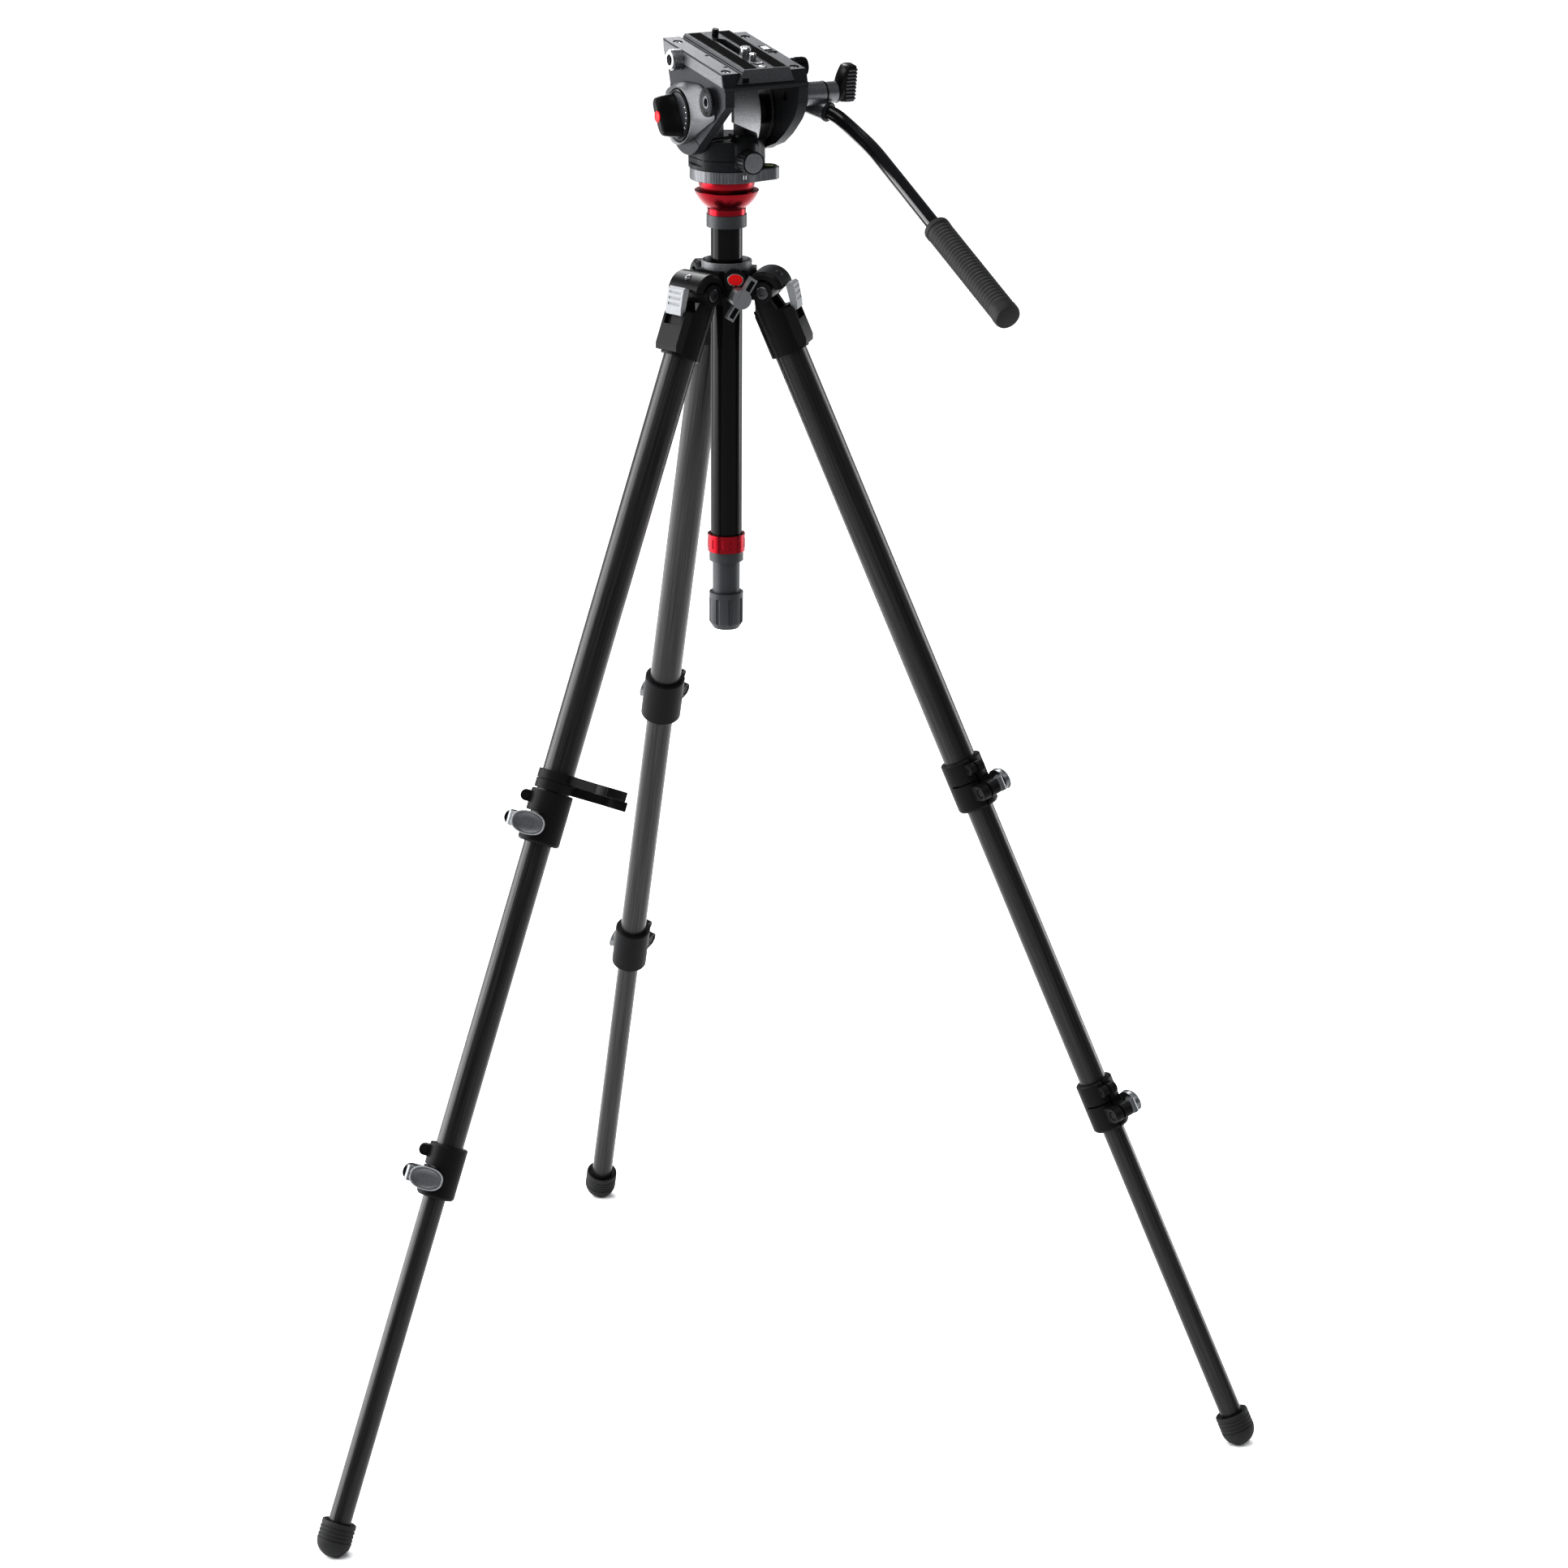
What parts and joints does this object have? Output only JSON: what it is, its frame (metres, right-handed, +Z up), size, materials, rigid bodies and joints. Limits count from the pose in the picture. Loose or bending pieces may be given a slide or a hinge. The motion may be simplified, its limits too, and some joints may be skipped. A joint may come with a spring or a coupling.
{
  "type": "tripod with fluid head",
  "caption": "Three-section lever-lock tripod with a levelling centre column and a fluid video head that pans and tilts with a side pan bar.",
  "frame": {"origin": "on the floor, at the centre of the bounding box in X and Y; the centre column stands at x 0, y -0.0777 m", "axes": "+Z up along the column, +Y towards the rear leg and roughly the lens side, -Y towards the operator, +X to the operator's right"},
  "size_m": [0.8776, 0.8485, 1.2841],
  "materials": {
    "black_casting": "satin black powder coat",
    "carbon": "satin lacquered carbon fibre, grain along the tube",
    "clamp_black": "matte moulded black",
    "lever_grey": "satin grey lever with a bright rim",
    "silver_tab": "bead-blasted silver",
    "bright_steel": "polished steel",
    "dark_bolt": "dark steel",
    "column_black": "gloss black anodised",
    "dark_plastic": "fine-textured dark grey",
    "red_anodised": "metallic red anodised",
    "base_silver": "brushed silver-grey",
    "head_black": "speckled black die cast",
    "head_grey": "speckled dark grey die cast",
    "cover_grey": "smooth mid grey",
    "knob_black": "moulded black",
    "plate_grey": "anodised dark grey with black rubber strips",
    "bar_black": "gloss black",
    "rubber": "soft black"
  },
  "bodies": {
    "frame": {"spider": "black_casting", "hinge_bolts": "dark_bolt"},
    "rear_leg_top": {"rear_casting": "black_casting", "rear_upper_tube": "carbon", "rear_upper_clamp": "clamp_black"},
    "rear_latch": {"rear_latch": "silver_tab"},
    "rear_upper_lever": {"rear_upper_lever": "lever_grey"},
    "rear_leg_middle": {"rear_mid_tube": "carbon", "rear_lower_clamp": "clamp_black"},
    "rear_lower_lever": {"rear_lower_lever": "lever_grey"},
    "rear_leg_bottom": {"rear_low_tube": "carbon", "rear_foot": "rubber"},
    "left_leg_top": {"left_casting": "black_casting", "left_upper_tube": "carbon", "left_upper_clamp": "clamp_black"},
    "left_latch": {"left_latch": "silver_tab"},
    "left_upper_lever": {"left_upper_lever": "lever_grey"},
    "left_leg_middle": {"left_mid_tube": "carbon", "left_lower_clamp": "clamp_black"},
    "left_lower_lever": {"left_lower_lever": "lever_grey"},
    "left_leg_bottom": {"left_low_tube": "carbon", "left_foot": "rubber"},
    "right_leg_top": {"right_casting": "black_casting", "right_upper_tube": "carbon", "right_upper_clamp": "clamp_black"},
    "right_latch": {"right_latch": "silver_tab"},
    "right_upper_lever": {"right_upper_lever": "lever_grey"},
    "right_leg_middle": {"right_mid_tube": "carbon", "right_lower_clamp": "clamp_black"},
    "right_lower_lever": {"right_lower_lever": "lever_grey"},
    "right_leg_bottom": {"right_low_tube": "carbon", "right_foot": "rubber"},
    "leg_clip": {"leg_clip": "clamp_black"},
    "column": {"column_tube": "column_black", "column_collars": "dark_plastic", "level_bowl": "red_anodised"},
    "column_lock": {"column_lock_knob": "knob_black"},
    "unlock_ring": {"unlock_ring": "red_anodised"},
    "level_grip": {"level_grip": "dark_plastic"},
    "level_cross": {"level_cross": "bright_steel"},
    "level_ball": {"half_ball": "red_anodised", "head_base": "base_silver"},
    "pan_body": {"pan_housing": "head_black", "tilt_axle": "bright_steel"},
    "pan_lock": {"pan_lock_knob": "knob_black"},
    "deck": {"receiver": "head_grey", "left_cheek": "head_grey", "right_cheek": "head_grey", "drag_cover": "cover_grey", "accessory_socket": "bright_steel"},
    "tilt_lock": {"tilt_lock_knob": "knob_black"},
    "plate_lock": {"plate_lock_knob": "knob_black"},
    "release_button": {"release_button": "silver_tab"},
    "plate": {"quick_plate": "plate_grey"},
    "screw_38": {"screw_38": "bright_steel"},
    "screw_14": {"screw_14": "bright_steel"},
    "bar": {"bar_clamp": "head_grey", "pan_bar": "bar_black", "bar_grip": "rubber"},
    "bar_lock": {"bar_knob": "knob_black"}
  },
  "joints": [
    {"name": "rear_leg_spread", "type": "hinge", "parent": "frame", "child": "rear_leg_top", "pos_m": [0, -0.04018, 1.06], "axis": [1, 0, 0], "range_deg": [-21, 60]},
    {"name": "rear_latch_pull", "type": "slide", "parent": "rear_leg_top", "child": "rear_latch", "axis": [0, 0.3987, -0.9171], "range_m": [0, 0.004], "stiffness_N_per_m": 900, "springref_m": -0.003},
    {"name": "rear_upper_lever", "type": "hinge", "parent": "rear_leg_top", "child": "rear_upper_lever", "pos_m": [0.01069, 0.17805, 0.62428], "axis": [0, 0.3987, -0.9171], "range_deg": [0, 105]},
    {"name": "rear_lower_lever", "type": "hinge", "parent": "rear_leg_middle", "child": "rear_lower_lever", "pos_m": [0.0094, 0.30562, 0.32775], "axis": [0, 0.3987, -0.9171], "range_deg": [0, 105]},
    {"name": "rear_middle_slide", "type": "slide", "parent": "rear_leg_top", "child": "rear_leg_middle", "axis": [0, 0.3987, -0.9171], "range_m": [-0.27, 0.05]},
    {"name": "rear_bottom_slide", "type": "slide", "parent": "rear_leg_middle", "child": "rear_leg_bottom", "axis": [0, 0.3987, -0.9171], "range_m": [-0.29, 0.04]},
    {"name": "left_leg_spread", "type": "hinge", "parent": "frame", "child": "left_leg_top", "pos_m": [-0.03248, -0.09643, 1.06], "axis": [-0.5, 0.866, 0], "range_deg": [-21, 60]},
    {"name": "left_latch_pull", "type": "slide", "parent": "left_leg_top", "child": "left_latch", "axis": [-0.3453, -0.1994, -0.9171], "range_m": [0, 0.004], "stiffness_N_per_m": 900, "springref_m": -0.003},
    {"name": "left_upper_lever", "type": "hinge", "parent": "left_leg_top", "child": "left_upper_lever", "pos_m": [-0.22681, -0.19628, 0.62428], "axis": [-0.3453, -0.1994, -0.9171], "range_deg": [0, 105]},
    {"name": "left_lower_lever", "type": "hinge", "parent": "left_leg_middle", "child": "left_lower_lever", "pos_m": [-0.33664, -0.26119, 0.32775], "axis": [-0.3453, -0.1994, -0.9171], "range_deg": [0, 105]},
    {"name": "left_middle_slide", "type": "slide", "parent": "left_leg_top", "child": "left_leg_middle", "axis": [-0.3453, -0.1994, -0.9171], "range_m": [-0.27, 0.05]},
    {"name": "left_bottom_slide", "type": "slide", "parent": "left_leg_middle", "child": "left_leg_bottom", "axis": [-0.3453, -0.1994, -0.9171], "range_m": [-0.29, 0.04]},
    {"name": "right_leg_spread", "type": "hinge", "parent": "frame", "child": "right_leg_top", "pos_m": [0.03248, -0.09643, 1.06], "axis": [-0.5, -0.866, 0], "range_deg": [-21, 60]},
    {"name": "right_latch_pull", "type": "slide", "parent": "right_leg_top", "child": "right_latch", "axis": [0.3453, -0.1994, -0.9171], "range_m": [0, 0.004], "stiffness_N_per_m": 900, "springref_m": -0.003},
    {"name": "right_upper_lever", "type": "hinge", "parent": "right_leg_top", "child": "right_upper_lever", "pos_m": [0.21612, -0.2148, 0.62428], "axis": [0.3453, -0.1994, -0.9171], "range_deg": [0, 105]},
    {"name": "right_lower_lever", "type": "hinge", "parent": "right_leg_middle", "child": "right_lower_lever", "pos_m": [0.32724, -0.27747, 0.32775], "axis": [0.3453, -0.1994, -0.9171], "range_deg": [0, 105]},
    {"name": "right_middle_slide", "type": "slide", "parent": "right_leg_top", "child": "right_leg_middle", "axis": [0.3453, -0.1994, -0.9171], "range_m": [-0.27, 0.05]},
    {"name": "right_bottom_slide", "type": "slide", "parent": "right_leg_middle", "child": "right_leg_bottom", "axis": [0.3453, -0.1994, -0.9171], "range_m": [-0.29, 0.04]},
    {"name": "leg_clip_turn", "type": "hinge", "parent": "left_leg_top", "child": "leg_clip", "pos_m": [-0.18423, -0.18404, 0.64985], "axis": [0.3453, 0.1994, 0.9171], "continuous": true},
    {"name": "column_slide", "type": "slide", "parent": "frame", "child": "column", "axis": [0, 0, 1], "range_m": [-0.035, 0.205]},
    {"name": "column_lock_turn", "type": "hinge", "parent": "frame", "child": "column_lock", "pos_m": [0, -0.12368, 1.058], "axis": [0, -1, 0], "range_deg": [-30, 330]},
    {"name": "unlock_ring_turn", "type": "hinge", "parent": "column", "child": "unlock_ring", "pos_m": [0, -0.07768, 0.828], "axis": [0, 0, 1], "range_deg": [0, 40]},
    {"name": "level_grip_turn", "type": "hinge", "parent": "column", "child": "level_grip", "pos_m": [0, -0.07768, 0.78], "axis": [0, 0, 1], "range_deg": [-45, 315]},
    {"name": "level_pitch", "type": "hinge", "parent": "column", "child": "level_cross", "pos_m": [0, -0.07768, 1.1556], "axis": [1, 0, 0], "range_deg": [-12, 12]},
    {"name": "level_roll", "type": "hinge", "parent": "level_cross", "child": "level_ball", "pos_m": [0, -0.07768, 1.1556], "axis": [0, 1, 0], "range_deg": [-12, 12]},
    {"name": "pan", "type": "hinge", "parent": "level_ball", "child": "pan_body", "pos_m": [0, -0.07768, 1.19], "axis": [0, 0, 1], "continuous": true},
    {"name": "pan_lock_turn", "type": "hinge", "parent": "pan_body", "child": "pan_lock", "pos_m": [0.00897, -0.12178, 1.1774], "axis": [0.1994, -0.9799, 0], "range_deg": [-30, 330]},
    {"name": "tilt", "type": "hinge", "parent": "pan_body", "child": "deck", "pos_m": [0, -0.07768, 1.215], "axis": [0.9799, 0.1994, 0], "range_deg": [-88, 45]},
    {"name": "tilt_lock_turn", "type": "hinge", "parent": "deck", "child": "tilt_lock", "pos_m": [-0.04508, -0.08685, 1.215], "axis": [-0.9799, -0.1994, 0], "range_deg": [-45, 135]},
    {"name": "plate_lock_turn", "type": "hinge", "parent": "deck", "child": "plate_lock", "pos_m": [0.05292, -0.11206, 1.25675], "axis": [0.9799, 0.1994, 0], "range_deg": [-30, 330]},
    {"name": "button_press", "type": "slide", "parent": "deck", "child": "release_button", "axis": [-0.0277, 0.1364, -0.9903], "range_m": [0, 0.002], "stiffness_N_per_m": 500, "springref_m": -0.001},
    {"name": "plate_slide", "type": "slide", "parent": "deck", "child": "plate", "axis": [-0.1974, 0.9704, 0.1392], "range_m": [-0.025, 0.025]},
    {"name": "screw_38_turn", "type": "hinge", "parent": "plate", "child": "screw_38", "pos_m": [0.00686, -0.11138, 1.26571], "axis": [0.0277, -0.1364, 0.9903], "continuous": true},
    {"name": "screw_14_turn", "type": "hinge", "parent": "plate", "child": "screw_14", "pos_m": [0.00962, -0.12497, 1.26376], "axis": [0.0277, -0.1364, 0.9903], "continuous": true},
    {"name": "bar_swing", "type": "hinge", "parent": "deck", "child": "bar", "pos_m": [0.06377, -0.11523, 1.23319], "axis": [0.9799, 0.1994, 0], "range_deg": [-60, 50]},
    {"name": "bar_lock_turn", "type": "hinge", "parent": "bar", "child": "bar_lock", "pos_m": [0.09316, -0.10925, 1.23319], "axis": [0.9799, 0.1994, 0], "range_deg": [-30, 330]}
  ]
}
